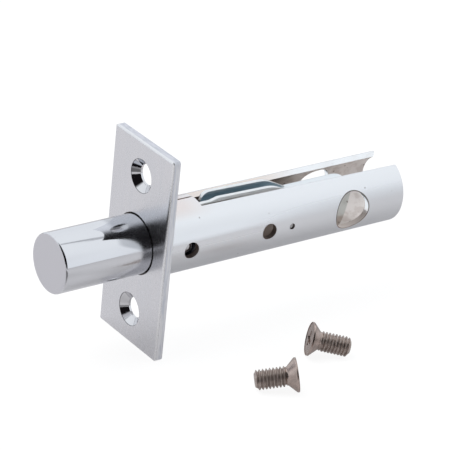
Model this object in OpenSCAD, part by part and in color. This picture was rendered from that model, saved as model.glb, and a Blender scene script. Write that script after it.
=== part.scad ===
// Mortice door bolt: a key-driven round bolt in a slotted barrel behind a faceplate.
// It is drawn with the bolt thrown. The origin is the centre of the faceplate's back
// face, on the bolt's own line. +X runs into the door, +Z runs up the door's edge.

/* [Faceplate] */
// Length of the faceplate, up the door's edge
plate_len = 57; // [54:0.5:66]
// Width of the faceplate, across the door's edge
plate_w = 26; // [24:0.5:32]
// Thickness of the faceplate
plate_t = 2.4; // [2.2:0.1:4]
// Radius of the faceplate's four corners
plate_corner_r = 0.8; // [0.5:0.1:3]
// Rounding of the faceplate's front edges
plate_edge_r = 0.6; // [0.3:0.1:1]
// Distance between the centres of the two screw holes
screw_spacing = 38.5; // [36:0.5:42]
// How deep the barrel's end sits in the back of the faceplate
barrel_seat = 1.4; // [0.8:0.1:1.6]
// Gap round the bolt where it leaves the faceplate
plate_bolt_gap = 0.3; // [0.1:0.05:0.4]

/* [Barrel] */
// Length of the barrel behind the faceplate
barrel_len = 79.3; // [74:0.1:90]
// Wall of the barrel, the thickness of its rolled strip
barrel_wall = 1.65; // [1.2:0.05:2]
// Width of the open seam where the rolled strip meets itself
seam_w = 0.2; // [0.1:0.05:0.4]
// Distance of the seam from the slot's middle line, away from the near side
seam_offset = 0.5; // [0:0.1:1]
// Distance from the faceplate to the front end of the guide slot
slot_start = 14.9; // [13:0.1:17]
// Width of the guide slot at its front end
slot_w_front = 7.7; // [6.5:0.1:9]
// Width of the guide slot at the barrel's open end
slot_w_rear = 9.6; // [8:0.1:10.5]
// Chamfer on the edges of the barrel's open end
barrel_chamfer = 0.3; // [0.1:0.05:0.5]
// Distance from the faceplate to the middle of the key hole
key_hole_pos = 61.6; // [58:0.1:66]
// Diameter of the key hole through both walls
key_hole_d = 10.8; // [10:0.1:12]

/* [Bolt] */
// Diameter of the bolt
bolt_d = 16; // [15:0.1:18]
// Gap between the bolt and the barrel's bore, all round
run_gap = 0.1; // [0.05:0.05:0.25]
// How far the thrown bolt stands out of the faceplate
bolt_out = 26; // [26:0.5:32]
// Travel of the bolt from thrown to drawn back
throw = 25; // [20:0.5:26]
// Rounding of the bolt's nose
nose_r = 0.5; // [0.2:0.1:1.5]
// Length of solid bolt behind the middle of its cross hole
bolt_behind_detent = 6.5; // [6:0.1:8]
// Chamfer on the bolt's inner end
bolt_chamfer = 0.4; // [0.2:0.1:0.8]

/* [Detent] */
// Distance from the faceplate to the first pair of detent holes
detent_pos = 8.7; // [8.2:0.1:10]
// Diameter of the detent holes in the barrel
detent_hole_d = 4.5; // [4:0.1:4.8]
// Diameter of the detent balls
ball_d = 5; // [4.9:0.05:5.4]
// Gap round each ball
ball_gap = 0.05; // [0.03:0.01:0.1]
// Thickness of the detent spring's wire
spring_wire_d = 0.6; // [0.4:0.05:0.7]
// Diameter of the detent spring, wire middle to wire middle
spring_d = 3.2; // [2.8:0.1:3.6]
// Number of turns of the detent spring
spring_turns = 5; // [3:1:5]

/* [Tail] */
// Width of the tail
tail_w = 5.3; // [4.8:0.1:5.6]
// Thickness of the two raised guide walls
guide_wall = 1.15; // [0.8:0.05:1.3]
// Distance from the slot's front end to the start of the raised walls
guide_setback = 3.4; // [3:0.1:5]
// Length of the raised walls from their start to their ramp
guide_flat = 18.9; // [14:0.1:21]
// Angle at which the raised walls' top edges fall towards the back
guide_fall = 1.5; // [0:0.5:3]
// Angle of the ramp at the back of the raised walls
guide_ramp = 26; // [20:1:40]
// Radius where the raised walls turn down into the ramp
ramp_r = 11; // [6:0.5:14]
// Radius at the front top corner of the raised walls
guide_front_r = 3; // [1:0.1:3.4]
// Depth of the guide walls' top edges below the barrel's outside
guide_sink = 0; // [0:0.05:0.6]
// Height of the stop foot below the guide walls' top edges
foot_drop = 0.6; // [0.4:0.05:1]
// Angle of the short ramp from the stop foot up to the near guide wall
foot_ramp = 13; // [12:1:25]
// Gap between the stop foot and the slot's front end
stop_gap = 0.4; // [0.2:0.05:0.8]
// Length of the tongue that lies in the bolt's groove
tongue_len = 13.9; // [12.5:0.1:14.5]
// Thickness of the tongue
tongue_t = 1.6; // [1.3:0.05:1.9]
// Gap on each side of the tongue
tongue_gap = 0.05; // [0.02:0.01:0.1]
// Radius of the tail's back corners
tail_corner_r = 2; // [1:0.1:2.2]

/* [Rack] */
// Number of rack teeth that pass the key over the whole throw
rack_steps = 6; // [5:1:7]
// Number of splines on the key that the rack suits
key_splines = 6; // [5:1:7]
// Height of the rack teeth
tooth_h = 1.7; // [1.3:0.1:1.8]
// How far the teeth reach inside the pitch line
tooth_tip = 0.8; // [0.6:0.05:1]
// Slope of a tooth's sides, from upright
tooth_slope = 20; // [14:1:25]
// Metal left above the rack teeth
rack_web = 0.7; // [0.6:0.05:1.2]
// How far the tail runs on past the middle of the key hole
rack_overhang = 3.3; // [3:0.1:5]

/* [Pins] */
// Diameter of the tail rivets
rivet_d = 2.2; // [1.8:0.1:2.4]
// Diameter of the rivets' heads
rivet_head_d = 4.2; // [3.4:0.1:4.6]
// Height of the rivets' heads
rivet_head_h = 0.9; // [0.6:0.1:1.1]
// How deep the rivets go into the bolt
rivet_depth = 5; // [3:0.5:6]
// Distance from each end of the tongue to its rivet
rivet_inset = 2; // [1.8:0.1:2.2]
// Diameter of the travel stop pin
stop_pin_d = 1.7; // [1.2:0.1:2.5]
// How far the travel stop pin stands into the bore
stop_pin_reach = 1.2; // [0.8:0.1:2]
// Depth of the travel stop pin's outer end below the barrel's outside
stop_pin_recess = 0.4; // [0.2:0.05:0.8]
// Chamfer on the travel stop pin's outer end
stop_pin_chamfer = 0.3; // [0.1:0.05:0.4]
// Gap between the drawn bolt and the travel stop pin
stop_pin_gap = 0.1; // [0.05:0.05:0.3]

/* [Fixing screws] */
// Thread diameter of the fixing screws
screw_d = 5.4; // [4.4:0.1:5.6]
// Thread pitch of the fixing screws
screw_pitch = 0.9; // [0.7:0.05:1]
// Overall length of a fixing screw
screw_len = 11.1; // [9:0.1:20]
// Diameter of the screw heads
screw_head_d = 9.1; // [8.4:0.1:9.4]
// Height of the straight rim of the screw heads
screw_rim_h = 0.5; // [0.1:0.05:0.7]
// Length of the plain neck between a screw's head and its thread
screw_neck_len = 0.6; // [0.5:0.1:1.5]
// Gap round a screw in its hole
screw_gap = 0.1; // [0.1:0.05:0.3]
// Gap between a screw head's rim and its countersink
head_gap = 0.05; // [0.05:0.05:0.2]
// Span of the cross recess
recess_span = 4.6; // [3.6:0.1:5]
// Width of the cross recess's arms
recess_w = 1.1; // [0.8:0.05:1.3]
// Depth of the cross recess
recess_depth = 2.2; // [1.5:0.1:2.6]
// Place of the first loose screw along the bolt, at its head
screw_1_x = 22.6; // [20:0.1:26]
// Distance of the first loose screw's head from the line of the bolt
screw_1_side = 40.9; // [39:0.1:44]
// Way the first loose screw's head points
screw_1_turn = -29; // [-45:1:-15]
// Place of the second loose screw along the bolt, at its head
screw_2_x = 36.8; // [34:0.1:42]
// Distance of the second loose screw's head from the line of the bolt
screw_2_side = 27.2; // [24:0.1:29]
// Way the second loose screw's head points
screw_2_turn = 148; // [135:1:165]

/* [Hidden] */

// Facets of round forms, and steps of an eighth-turn in a drawn curve
fine = 96;
arc_steps = 6;
// Overlap that makes a cut pass clean through a face
cut = 1;

// Rounds that share one line: bolt in bore, bore in barrel, barrel in faceplate
bore_d = bolt_d + 2 * run_gap;
barrel_d = bore_d + 2 * barrel_wall;

// Stations along the line of the bolt
bolt_nose_x = -plate_t - bolt_out;
bolt_end_x = detent_pos + bolt_behind_detent;
tongue_x = bolt_end_x - tongue_len;
foot_x = slot_start + stop_gap;
guide_x = slot_start + guide_setback;
crest_x = guide_x + guide_front_r;
ramp_x = guide_x + guide_flat;
tail_end_x = key_hole_pos + rack_overhang;
stop_pin_x = bolt_end_x + throw + stop_pin_gap + stop_pin_d / 2;

// Heights of the tail, set by the pitch line of the key's splines
rack_pitch = throw / rack_steps;
pitch_z = key_splines * rack_pitch / (2 * PI);
tip_z = pitch_z - tooth_tip;
root_z = tip_z + tooth_h;
tail_top_z = root_z + rack_web;
tongue_z = tail_top_z - tongue_t;
guide_top_z = sqrt(pow(barrel_d / 2, 2) - pow(tail_w / 2, 2)) - guide_sink;
foot_top_z = guide_top_z - foot_drop;
ramp_mid_x = ramp_x - ramp_r * sin(guide_fall);
ramp_mid_z = guide_top_z - (ramp_x - crest_x) * tan(guide_fall) - ramp_r * cos(guide_fall);
ramp_end_x = ramp_mid_x + ramp_r * sin(guide_ramp)
    + (ramp_mid_z + ramp_r * cos(guide_ramp) - tail_top_z) / tan(guide_ramp);

// Detent: the balls lie just inside the bore and click outwards into the holes
ball_y = bore_d / 2 - ball_gap - ball_d / 2;
cross_hole_d = ball_d + 2 * ball_gap;
spring_half = ball_y - sqrt(pow(ball_d / 2 + spring_wire_d / 2 + ball_gap, 2)
    - pow(spring_d / 2, 2));
spring_rings = 12;
spring_sides = 6;

// Fixing screws: a hole that clears the thread, a countersink that takes the head
screw_hole_d = screw_d + 2 * screw_gap;
countersink_d = screw_head_d + 2 * head_gap;

// Thread: its depth and the flat on its crests, as shares of the pitch
thread_depth = 0.6;
crest_start = 0.4;
crest_end = 0.6;
screw_core_d = screw_d - 2 * thread_depth * screw_pitch;
thread_top = screw_rim_h + (screw_head_d - screw_d) / 2 + screw_neck_len;
crests = floor((screw_len - thread_top) / screw_pitch);
tip_len = screw_len - thread_top - crests * screw_pitch;

// A loose screw lies on its head's rim and on the last crest of its thread
floor_z = -plate_len / 2;
screw_tilt = atan((screw_head_d - screw_d) / 2
    / (screw_len - tip_len - crest_start * screw_pitch - screw_rim_h));
screw_lie_z = floor_z + screw_head_d / 2 * cos(screw_tilt) + screw_rim_h * sin(screw_tilt);

// Points of an arc about [x, y], from one angle to another
function arc(x, y, r, from, to) = [
    for (i = [0 : arc_steps])
        let (a = from + (to - from) * i / arc_steps)
        [x + r * cos(a), y + r * sin(a)]
];

// A ring of points round the spring's wire, at a turn angle along the helix
function wire_ring(a) =
    let (
        y = -spring_half + 2 * spring_half * a / (360 * spring_turns),
        out = [cos(a), 0, sin(a)],
        side = [0, 1, 0],
        middle = [spring_d / 2 * cos(a), y, spring_d / 2 * sin(a)]
    )
    [for (k = [0 : spring_sides - 1])
        let (b = 360 * k / spring_sides)
        middle + spring_wire_d / 2 * (cos(b) * out + sin(b) * side)];

// Side outline of the plate with its two front edges rounded, half as wide as w
module edge_outline(w) {
    x = -plate_t + plate_edge_r;
    polygon(concat(
        [[0, -w / 2]],
        [[0, w / 2]],
        arc(x, w / 2 - plate_edge_r, plate_edge_r, 90, 180),
        arc(x, -w / 2 + plate_edge_r, plate_edge_r, 180, 270)
    ));
}

module plate_blank() {
    intersection() {
        linear_extrude(height = plate_len, center = true) edge_outline(plate_w);
        rotate([90, 0, 0])
            linear_extrude(height = plate_w, center = true) edge_outline(plate_len);
        rotate([0, -90, 0])
            linear_extrude(height = plate_t + cut) {
                square([plate_len - 2 * plate_corner_r, plate_w], center = true);
                square([plate_len, plate_w - 2 * plate_corner_r], center = true);
                for (u = [-1, 1], v = [-1, 1])
                    translate([u * (plate_len / 2 - plate_corner_r),
                        v * (plate_w / 2 - plate_corner_r)])
                        circle(r = plate_corner_r, $fn = fine);
            }
    }
}

// A cylinder along X, from one station to another
module round_x(d, from, to) {
    translate([from, 0, 0]) rotate([0, 90, 0]) cylinder(d = d, h = to - from, $fn = fine);
}

module screw_hole() {
    cone_depth = (countersink_d - screw_hole_d) / 2;
    round_x(screw_hole_d, -plate_t - cut, cut);
    translate([-plate_t - cut, 0, 0]) rotate([0, 90, 0])
        cylinder(d1 = countersink_d + 2 * cut, d2 = screw_hole_d, h = cone_depth + cut,
            $fn = fine);
}

module faceplate() {
    color([0.8, 0.8, 0.83])
    difference() {
        plate_blank();
        round_x(bolt_d + 2 * plate_bolt_gap, -plate_t - cut, cut);
        round_x(barrel_d, -barrel_seat, cut);
        for (side = [-1, 1])
            translate([0, 0, side * screw_spacing / 2]) screw_hole();
    }
}

// Wall of the barrel as a profile turned about the line of the bolt
module barrel_tube() {
    c = barrel_chamfer;
    r_in = bore_d / 2;
    r_out = barrel_d / 2;
    rotate([0, 90, 0])
        rotate_extrude($fn = fine)
            polygon([
                [r_in, -barrel_seat], [r_out, -barrel_seat],
                [r_out, barrel_len - c], [r_out - c, barrel_len],
                [r_in + c, barrel_len], [r_in, barrel_len - c]
            ]);
}

// The guide slot opens out from its square front end to the barrel's open end
module guide_slot() {
    run = barrel_len - slot_start;
    flare = (slot_w_rear - slot_w_front) / 2;
    past = flare * cut / run;
    linear_extrude(height = barrel_d)
        polygon([
            [slot_start, -slot_w_front / 2], [barrel_len + cut, -slot_w_rear / 2 - past],
            [barrel_len + cut, slot_w_rear / 2 + past], [slot_start, slot_w_front / 2]
        ]);
}

// A hole along Y through both walls of the barrel
module cross_bore(x, d) {
    translate([x, 0, 0]) rotate([90, 0, 0])
        cylinder(d = d, h = barrel_d + 2 * cut, center = true, $fn = fine);
}

// The stop pin's place, through the near wall only
module stop_pin_place(from, to) {
    translate([stop_pin_x, -from, 0]) rotate([90, 0, 0])
        cylinder(d = stop_pin_d, h = to - from, $fn = fine);
}

module barrel() {
    color([0.84, 0.86, 0.9])
    difference() {
        barrel_tube();
        guide_slot();
        translate([-barrel_seat - cut, seam_offset - seam_w / 2, 0])
            cube([slot_start + barrel_seat + 2 * cut, seam_w, barrel_d]);
        cross_bore(detent_pos, detent_hole_d);
        cross_bore(detent_pos + throw, detent_hole_d);
        cross_bore(key_hole_pos, key_hole_d);
        stop_pin_place(0, barrel_d / 2 + cut);
    }
}

module bolt_rod() {
    r = bolt_d / 2;
    n = nose_r;
    c = bolt_chamfer;
    color([0.78, 0.79, 0.82])
    difference() {
        rotate([0, 90, 0])
            rotate_extrude($fn = fine)
                polygon(concat(
                    [[0, bolt_nose_x]],
                    arc(r - n, bolt_nose_x + n, n, -90, 0),
                    [[r, bolt_end_x - c], [r - c, bolt_end_x], [0, bolt_end_x]]
                ));
        cross_bore(detent_pos, cross_hole_d);
        translate([tongue_x, -tail_w / 2 - tongue_gap, tongue_z])
            cube([tongue_len + cut, tail_w + 2 * tongue_gap, bolt_d]);
        for (x = [tongue_x + rivet_inset, bolt_end_x - rivet_inset])
            rivet_shank(x);
    }
}

// Outline from above: a straight bar with two rounded back corners
module tail_plan() {
    r = tail_corner_r;
    translate([tongue_x, -tail_w / 2]) square([tail_end_x - r - tongue_x, tail_w]);
    translate([tongue_x, -tail_w / 2 + r])
        square([tail_end_x - tongue_x, tail_w - 2 * r]);
    for (side = [-1, 1])
        translate([tail_end_x - r, side * (tail_w / 2 - r)]) circle(r = r, $fn = fine);
}

// Side outline of the bar: a thin tongue, a shoulder, then the full depth
module bar_side() {
    polygon([
        [tongue_x, tongue_z], [bolt_end_x, tongue_z], [bolt_end_x, tip_z],
        [tail_end_x + cut, tip_z], [tail_end_x + cut, tail_top_z], [tongue_x, tail_top_z]
    ]);
}

// The gap between two teeth, open towards the key
module tooth_gap() {
    lean = tooth_h * tan(tooth_slope);
    half = rack_pitch / 4;
    past = cut * tan(tooth_slope);
    polygon([
        [-half - lean / 2 - past, tip_z - cut], [half + lean / 2 + past, tip_z - cut],
        [half - lean / 2, root_z], [-half + lean / 2, root_z]
    ]);
}

// The ramp that both raised walls share, from the bar up to the falling top edge
function guide_back() = concat(
    [[ramp_end_x, tail_top_z]],
    arc(ramp_mid_x, ramp_mid_z, ramp_r, 90 - guide_ramp, 90 - guide_fall)
);

// Side outline of the far wall, with an upright front end
module far_wall_side() {
    r = guide_front_r;
    polygon(concat(
        [[guide_x, tip_z], [ramp_end_x, tip_z]],
        guide_back(),
        arc(crest_x, guide_top_z - r, r, 90, 180)
    ));
}

// Side outline of the near wall, which runs forward into a low stop foot
module near_wall_side() {
    corner = foot_drop;
    polygon(concat(
        [[foot_x, tip_z], [ramp_end_x, tip_z]],
        guide_back(),
        [[crest_x, guide_top_z], [crest_x - foot_drop / tan(foot_ramp), foot_top_z]],
        arc(foot_x + corner, foot_top_z - corner, corner, 90, 180)
    ));
}

module raised_wall(side) {
    inner = tail_w / 2 - guide_wall;
    translate([0, side > 0 ? tail_w / 2 : -inner, 0]) rotate([90, 0, 0])
        linear_extrude(height = guide_wall) children();
}

module rack_tail() {
    color([0.74, 0.78, 0.8])
    difference() {
        union() {
            intersection() {
                linear_extrude(height = barrel_d) tail_plan();
                rotate([90, 0, 0])
                    linear_extrude(height = tail_w + cut, center = true) bar_side();
            }
            raised_wall(1) far_wall_side();
            raised_wall(-1) near_wall_side();
        }
        for (i = [0 : rack_steps + 1])
            translate([key_hole_pos - i * rack_pitch, 0, 0]) rotate([90, 0, 0])
                linear_extrude(height = tail_w + 2 * cut, center = true) tooth_gap();
        for (x = [tongue_x + rivet_inset, bolt_end_x - rivet_inset])
            rivet_shank(x);
    }
}

module rivet_shank(x) {
    translate([x, 0, tongue_z - rivet_depth])
        cylinder(d = rivet_d, h = rivet_depth + tongue_t, $fn = fine);
}

// A rivet: its shank in the tongue and the bolt, its low round head on the tongue
module tail_rivet(x) {
    edge = rivet_head_h / 3;
    color([0.7, 0.71, 0.73]) {
        rivet_shank(x);
        translate([x, 0, tail_top_z])
            rotate_extrude($fn = fine)
                polygon([
                    [0, 0], [rivet_head_d / 2, 0], [rivet_head_d / 2, edge],
                    [rivet_head_d / 2 - edge, rivet_head_h], [0, rivet_head_h]
                ]);
    }
}

module tail_rivet_front() {
    tail_rivet(tongue_x + rivet_inset);
}

module tail_rivet_rear() {
    tail_rivet(bolt_end_x - rivet_inset);
}

module detent_ball(side) {
    color([0.75, 0.75, 0.76])
        translate([detent_pos, side * ball_y, 0]) sphere(d = ball_d, $fn = fine);
}

module detent_ball_near() {
    detent_ball(-1);
}

module detent_ball_far() {
    detent_ball(1);
}

// An open coil between the two balls, swept as one tube
module detent_spring() {
    rings = spring_turns * spring_rings;
    n = spring_sides;
    points = [for (i = [0 : rings]) each wire_ring(360 * i / spring_rings)];
    walls = [
        for (i = [0 : rings - 1], k = [0 : n - 1])
            let (a = i * n + k, b = i * n + (k + 1) % n)
            each [[a, a + n, b], [b, a + n, b + n]]
    ];
    front = [for (k = [1 : n - 2]) [0, k, k + 1]];
    back = [for (k = [1 : n - 2]) [rings * n, rings * n + k + 1, rings * n + k]];
    color([0.6, 0.61, 0.63])
        translate([detent_pos, 0, 0])
            polyhedron(points = points, faces = concat(walls, front, back));
}

// The pin's outer end is chamfered and lies a little below the barrel's outside
module travel_stop_pin() {
    end = barrel_d / 2 - stop_pin_recess;
    c = stop_pin_chamfer;
    color([0.7, 0.7, 0.7]) {
        stop_pin_place(bore_d / 2 - stop_pin_reach, end - c);
        translate([stop_pin_x, c - end, 0]) rotate([90, 0, 0])
            cylinder(d1 = stop_pin_d, d2 = stop_pin_d - 2 * c, h = c, $fn = fine);
    }
}

// A cross recess that narrows towards its bottom, open at the top
module cross_recess() {
    widening = (recess_span - recess_w) / recess_depth * cut;
    intersection() {
        for (a = [0, 90])
            rotate(a) cube([2 * recess_span, recess_w, 2 * recess_depth], center = true);
        translate([0, 0, -recess_depth])
            cylinder(d1 = recess_w, d2 = recess_span + widening, h = recess_depth + cut,
                $fn = fine);
    }
}

// A countersunk screw, head face up at the origin, its thread as a row of crests
module countersunk_screw() {
    r = screw_d / 2;
    core = screw_core_d / 2;
    neck = (r + core) / 2;
    head_r = screw_head_d / 2;
    difference() {
        rotate_extrude($fn = fine)
            polygon(concat(
                [[0, 0], [0, -screw_len], [core, -screw_len]],
                [for (i = [0 : crests - 1])
                    let (z = -screw_len + tip_len + i * screw_pitch)
                    each [[core, z], [r, z + crest_start * screw_pitch],
                        [r, z + crest_end * screw_pitch]]],
                [[core, -thread_top], [neck, -thread_top],
                    [neck, -screw_rim_h - head_r + neck], [head_r, -screw_rim_h],
                    [head_r, 0]]
            ));
        cross_recess();
    }
}

// A screw lying on its head's rim and its thread, as set down beside the bolt
module lying_screw(x, side, turn) {
    color([0.62, 0.58, 0.55])
        translate([x, -side, screw_lie_z]) rotate([0, 90 - screw_tilt, turn])
            countersunk_screw();
}

module fixing_screw_1() {
    lying_screw(screw_1_x, screw_1_side, screw_1_turn);
}

module fixing_screw_2() {
    lying_screw(screw_2_x, screw_2_side, screw_2_turn);
}

faceplate();
barrel();
bolt_rod();
rack_tail();
tail_rivet_front();
tail_rivet_rear();
detent_ball_near();
detent_ball_far();
detent_spring();
travel_stop_pin();
fixing_screw_1();
fixing_screw_2();
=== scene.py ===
"""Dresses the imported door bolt: its metals, its small parts and a pale studio."""
import math

import bmesh
import bpy
from bpy.props import FloatProperty, FloatVectorProperty, IntProperty
from bpy.types import Operator, Panel, PropertyGroup
from mathutils import Matrix, Vector


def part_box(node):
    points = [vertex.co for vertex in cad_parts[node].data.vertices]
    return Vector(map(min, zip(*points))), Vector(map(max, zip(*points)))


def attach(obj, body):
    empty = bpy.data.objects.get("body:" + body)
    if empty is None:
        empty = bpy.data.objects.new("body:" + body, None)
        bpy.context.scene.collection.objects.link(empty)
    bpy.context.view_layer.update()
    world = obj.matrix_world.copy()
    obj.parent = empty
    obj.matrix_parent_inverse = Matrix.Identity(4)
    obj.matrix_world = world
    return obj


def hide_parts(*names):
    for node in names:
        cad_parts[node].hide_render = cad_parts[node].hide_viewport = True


bl_info = {
    "name": "Door bolt dressing",
    "version": (1, 0, 0),
    "blender": (4, 5, 0),
    "location": "3D View > Sidebar > Door bolt",
    "description": "Dresses a key-driven door bolt and sets its studio",
    "category": "Object",
}

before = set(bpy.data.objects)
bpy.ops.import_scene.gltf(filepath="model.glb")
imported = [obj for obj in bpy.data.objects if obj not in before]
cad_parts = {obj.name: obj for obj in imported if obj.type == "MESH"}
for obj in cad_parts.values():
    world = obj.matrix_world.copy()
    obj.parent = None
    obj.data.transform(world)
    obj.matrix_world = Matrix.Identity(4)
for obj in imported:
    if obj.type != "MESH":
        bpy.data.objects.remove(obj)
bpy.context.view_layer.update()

MM = 0.001
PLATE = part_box("faceplate")
FLOOR_Z = PLATE[0].z
BARREL_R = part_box("barrel")[1].y
TAIL_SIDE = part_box("rack_tail")[1].y
PLATE_FRONT, PLATE_SIDE, PLATE_END = PLATE[0].x, PLATE[1].y, PLATE[1].z
NOSE_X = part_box("bolt_rod")[0].x

# Places inside the CAD shapes that the metals change at
SCREW_HOLE_Z = 19.25 * MM
COUNTERSINK_R = 4.6 * MM
BORE_R = 8.1 * MM
SLOT_START = 14.9 * MM
SEAM_Y = 0.5 * MM
KEY_HOLE_X = 61.6 * MM
KEY_HOLE_R = 5.4 * MM

# Where the loose screws lie: x and distance before the bolt in mm, turn in degrees
LOOSE_SCREWS = (
    ("fixing_screw_1", 22.6, 40.9, -29.0), ("fixing_screw_2", 36.8, 27.2, 148.0)
)
RECESS_TAPER = 0.42

# The studio, as the metals mirror it
FLOOR_GAP = 0.02 * MM
DARK_PATCH = (-90.0 * MM, -115.0 * MM)
SHADE_Y = 5.0 * MM
PANEL_JOINT = (0.857, 0.120, -0.501)


# ---------------------------------------------------------------- sizes and colours


def length(name, description, mm):
    return FloatProperty(
        name=name, description=description, default=mm * MM, unit="LENGTH", precision=5
    )


def angle(name, description, degrees):
    return FloatProperty(
        name=name, description=description, default=math.radians(degrees),
        unit="ROTATION",
    )


def tint(name, description, rgb):
    return FloatVectorProperty(
        name=name, description=description, default=rgb, size=3, subtype="COLOR",
        min=0.0, max=1.0,
    )


def share(name, description, value):
    return FloatProperty(
        name=name, description=description, default=value, min=0.0, max=1.0,
        subtype="FACTOR",
    )


class BoltSizes(PropertyGroup):
    """Sizes of the pieces that are made here"""

    screw_pitch: length("Thread pitch", "Distance from one crest to the next", 0.9)
    screw_d: length("Thread diameter", "Outside diameter of the thread", 5.4)
    screw_core_d: length("Thread root", "Diameter at the bottom of the thread", 4.2)
    screw_len: length("Screw length", "Overall length of a fixing screw", 11.1)
    screw_head_d: length("Head diameter", "Diameter of the countersunk heads", 9.1)
    screw_rim: length("Head rim", "Height of the straight rim of the heads", 0.5)
    screw_neck: length("Neck length", "Plain neck between a head and its thread", 0.6)
    screw_tip: length("Tip length", "Plain tip past the last thread", 0.05)
    recess_span: length("Recess span", "Span of the cross recess in the heads", 4.6)
    recess_w: length("Recess width", "Width of one arm of the cross recess", 1.1)
    recess_depth: length("Recess depth", "Depth of the cross recess", 2.2)
    rivet_head_d: length("Rivet head", "Diameter of the tail rivets' heads", 4.2)
    rivet_head_h: length("Rivet head height", "Height of the tail rivets' heads", 0.9)
    rivet_shank_d: length("Rivet shank", "Diameter of the rivets below the head", 2.2)
    wire_d: length("Spring wire", "Thickness of the detent spring's wire", 0.6)
    spring_d: length("Spring diameter", "Diameter to the middle of its wire", 3.2)
    spring_turns: IntProperty(
        name="Spring turns", description="Number of turns of the detent spring",
        default=5, min=3, max=7,
    )
    softening: length("Edge softening", "Radius worn onto the cut edges", 0.16)


class BoltFinishes(PropertyGroup):
    """Colours and wear of the metals"""

    satin: tint("Satin chrome", "Colour of the faceplate", (0.86, 0.86, 0.89))
    bright: tint("Bright plate", "Colour of the barrel's outside", (0.90, 0.915, 0.94))
    bare: tint("Bare strip", "Colour of the barrel's inside", (0.97, 0.915, 0.88))
    # Painted shade: the barrel's inside, darker deep in, away from its open end
    shade: tint("Shaded strip", "Colour deep inside the barrel", (0.44, 0.37, 0.33))
    cut: tint("Cut edges", "Colour of the barrel's cut edges", (0.88, 0.79, 0.735))
    polished: tint("Polished chrome", "Colour of the bolt", (0.80, 0.81, 0.84))
    zinc: tint("Zinc plate", "Colour of the tail", (0.97, 0.985, 0.985))
    # Painted shade: the tail's zinc down in its trough
    trough: tint("Trough shade", "Colour down in the tail's trough", (0.52, 0.61, 0.66))
    steel: tint("Plain steel", "Colour of rivets, spring and pin", (0.62, 0.62, 0.63))
    ball: tint("Ball steel", "Colour of the detent balls", (0.72, 0.72, 0.73))
    nickel: tint("Nickel", "Colour of the screws' threads", (0.66, 0.575, 0.53))
    nickel_bright: tint("Bright nickel", "Colour of the heads", (0.62, 0.505, 0.455))
    wear: share("Wear", "How far the cut edges are worn bright", 0.5)


class BoltStudio(PropertyGroup):
    """Floor, light and camera"""

    camera_place: FloatVectorProperty(
        name="Camera place", description="Where the camera stands", size=3,
        default=(-0.33993, -0.46149, 0.29437), subtype="TRANSLATION", precision=5,
    )
    camera_turn: angle("Camera turn", "Turn round the bolt, 0 looks along +Y", -38.433)
    camera_rise: angle("Camera rise", "Angle above the horizon", 26.619)
    camera_roll: angle("Camera roll", "Roll about the line of sight", 6.2)
    camera_lens: FloatProperty(
        name="Lens", description="Focal length on a 36 mm sensor", default=200.2,
        unit="CAMERA",
    )
    sky: tint("Sky", "Colour of the soft light from all round", (0.90, 0.93, 0.96))
    floor: tint("Floor", "Colour of the floor in the mirrors", (0.34, 0.335, 0.34))
    room_turn: angle("Dark room turn", "Turn of the unlit side of the room", -38.4)
    room_rise: angle("Dark room rise", "Height of its middle above the horizon", 26.0)
    room_spread: angle("Dark room spread", "Half the angle that it covers", 66.0)
    key: FloatProperty(
        name="Key light", description="Power of the large soft lamp", default=2.0,
        unit="POWER",
    )


# ---------------------------------------------------------------- node helpers


def feed(tree, value, target):
    """Links an output to an input, or sets the input to a plain value."""
    if isinstance(value, bpy.types.NodeSocket):
        tree.links.new(value, target)
    elif target.type == "RGBA":
        target.default_value = (*value, 1.0)
    else:
        target.default_value = value


def add(tree, kind, inputs=None, **settings):
    """Adds a node with its settings, and feeds the inputs that are named."""
    node = tree.nodes.new(kind)
    for name, value in settings.items():
        setattr(node, name, value)
    for name, value in (inputs or {}).items():
        feed(tree, value, node.inputs[name])
    return node


def maths(tree, operation, *values, clamp=False):
    return add(tree, "ShaderNodeMath", dict(enumerate(values)), operation=operation,
               use_clamp=clamp).outputs[0]


def product(tree, *values):
    """All the values multiplied: for masks, where every one of them is on."""
    total = values[0]
    for value in values[1:]:
        total = maths(tree, "MULTIPLY", total, value)
    return total


def either(tree, a, b):
    return maths(tree, "MAXIMUM", a, b)


def inverse(tree, mask):
    return maths(tree, "SUBTRACT", 1.0, mask)


def less(tree, a, b):
    return maths(tree, "SUBTRACT", a, b)


def size_of(tree, value):
    return maths(tree, "ABSOLUTE", value)


def scaled(tree, value, factor, plus):
    return maths(tree, "MULTIPLY_ADD", value, factor, plus)


def vectors(tree, operation, *values):
    """A vector operation. Its answer is a number for a length or a dot product."""
    node = add(tree, "ShaderNodeVectorMath", operation=operation)
    for value, target in zip(values, [s for s in node.inputs if s.enabled]):
        feed(tree, value, target)
    return next(s for s in node.outputs if s.enabled)


def ramp(tree, value, start, end, low=0.0, high=1.0):
    """A soft step from low at the start to high at the end, which may be the lesser."""
    limits = {"Value": value, "From Min": start, "From Max": end,
              "To Min": low, "To Max": high}
    step = add(tree, "ShaderNodeMapRange", limits, interpolation_type="SMOOTHSTEP")
    return step.outputs["Result"]


def zone(tree, value, start, end, low=0.0, high=1.0, at=0.0):
    """A soft step between two millimetre marks, counted from the place given as at."""
    return ramp(tree, value, at + start * MM, at + end * MM, low, high)


def mix_colour(tree, factor, a, b):
    node = add(tree, "ShaderNodeMix", data_type="RGBA")
    for value, target in zip((factor, a, b), [s for s in node.inputs if s.enabled]):
        feed(tree, value, target)
    return next(s for s in node.outputs if s.enabled)


def off_axis(tree, a, b):
    """Distance from an axis, from the two coordinates across it."""
    both = add(tree, "ShaderNodeCombineXYZ", {0: a, 1: b}).outputs[0]
    return vectors(tree, "LENGTH", both)


def tilted(tree, normal, mask, way):
    """Leans a normal one way where the mask is on, as on a rolled edge."""
    lean = vectors(tree, "SCALE", way, mask)
    return vectors(tree, "NORMALIZE", vectors(tree, "ADD", normal, lean))


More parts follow.
